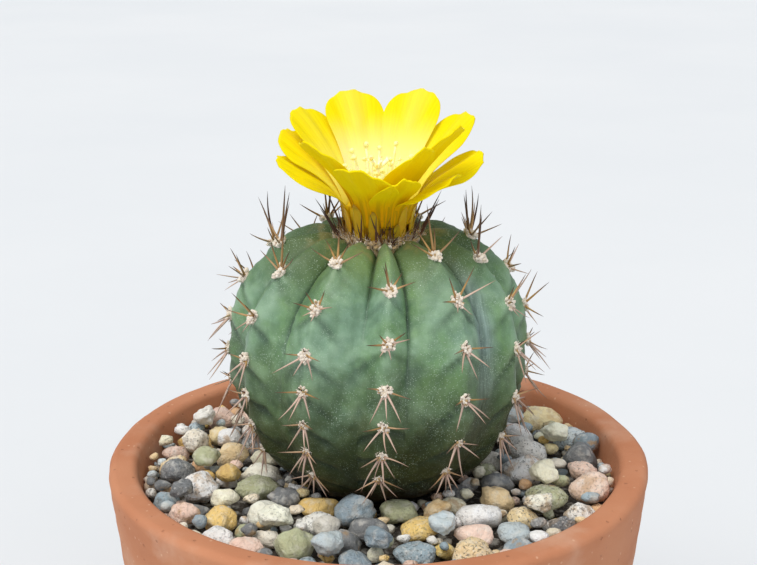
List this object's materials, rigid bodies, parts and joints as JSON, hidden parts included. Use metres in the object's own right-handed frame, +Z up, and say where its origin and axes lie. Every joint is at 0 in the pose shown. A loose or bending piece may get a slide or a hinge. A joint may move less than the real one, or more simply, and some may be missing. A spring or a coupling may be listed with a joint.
{
  "type": "potted round cactus",
  "caption": "Round ribbed cactus with spine clusters down its ribs and an open yellow flower on top, planted in a plain clay pot under a layer of gravel.",
  "frame": {"origin": "centre of the pot's underside, on the surface that it stands on", "axes": "+Z up through the pot and the plant; -Y is the front, the side that the picture shows; +X is to the right seen from the front"},
  "size_m": [0.13, 0.13, 0.1763],
  "materials": {
    "clay": "unglazed fired clay, matt and porous",
    "soil": null,
    "gravel": "small rounded gravel of mixed colours",
    "pebbles": "rough rounded pebbles, cream, tan, grey and slate",
    "stem_skin": null,
    "spines": "woody spines, pale to dark brown, from cream woolly cushions",
    "wool": "felted cream and tan plant wool with dark bristles",
    "tube_skin": "golden yellow flower tube, streaked",
    "petals": "thin silky lemon-yellow petals",
    "stamens": "pale yellow threads with ochre pollen heads",
    "pistil": "pale cream-yellow"
  },
  "bodies": {
    "root": {"pot": "clay", "potting_mix": "soil", "gravel_layer": "gravel", "pebble_01": "pebbles", "pebble_02": "pebbles", "pebble_03": "pebbles", "pebble_04": "pebbles", "pebble_05": "pebbles", "pebble_06": "pebbles", "pebble_07": "pebbles", "pebble_08": "pebbles", "pebble_09": "pebbles", "pebble_10": "pebbles", "pebble_11": "pebbles", "pebble_12": "pebbles", "pebble_13": "pebbles", "pebble_14": "pebbles", "pebble_15": "pebbles", "pebble_16": "pebbles", "cactus_stem": "stem_skin", "spines_rib_01": "spines", "spines_rib_02": "spines", "spines_rib_03": "spines", "spines_rib_04": "spines", "spines_rib_05": "spines", "spines_rib_06": "spines", "spines_rib_07": "spines", "spines_rib_08": "spines", "spines_rib_09": "spines", "spines_rib_10": "spines", "spines_rib_11": "spines", "spines_rib_12": "spines", "crown_wool": "wool", "floral_tube": "tube_skin", "petal_01": "petals", "petal_02": "petals", "petal_03": "petals", "petal_04": "petals", "petal_05": "petals", "petal_06": "petals", "petal_07": "petals", "petal_08": "petals", "petal_09": "petals", "petal_10": "petals", "petal_11": "petals", "petal_12": "petals", "petal_13": "petals", "stamens": "stamens", "pistil": "pistil"}
  },
  "joints": []
}
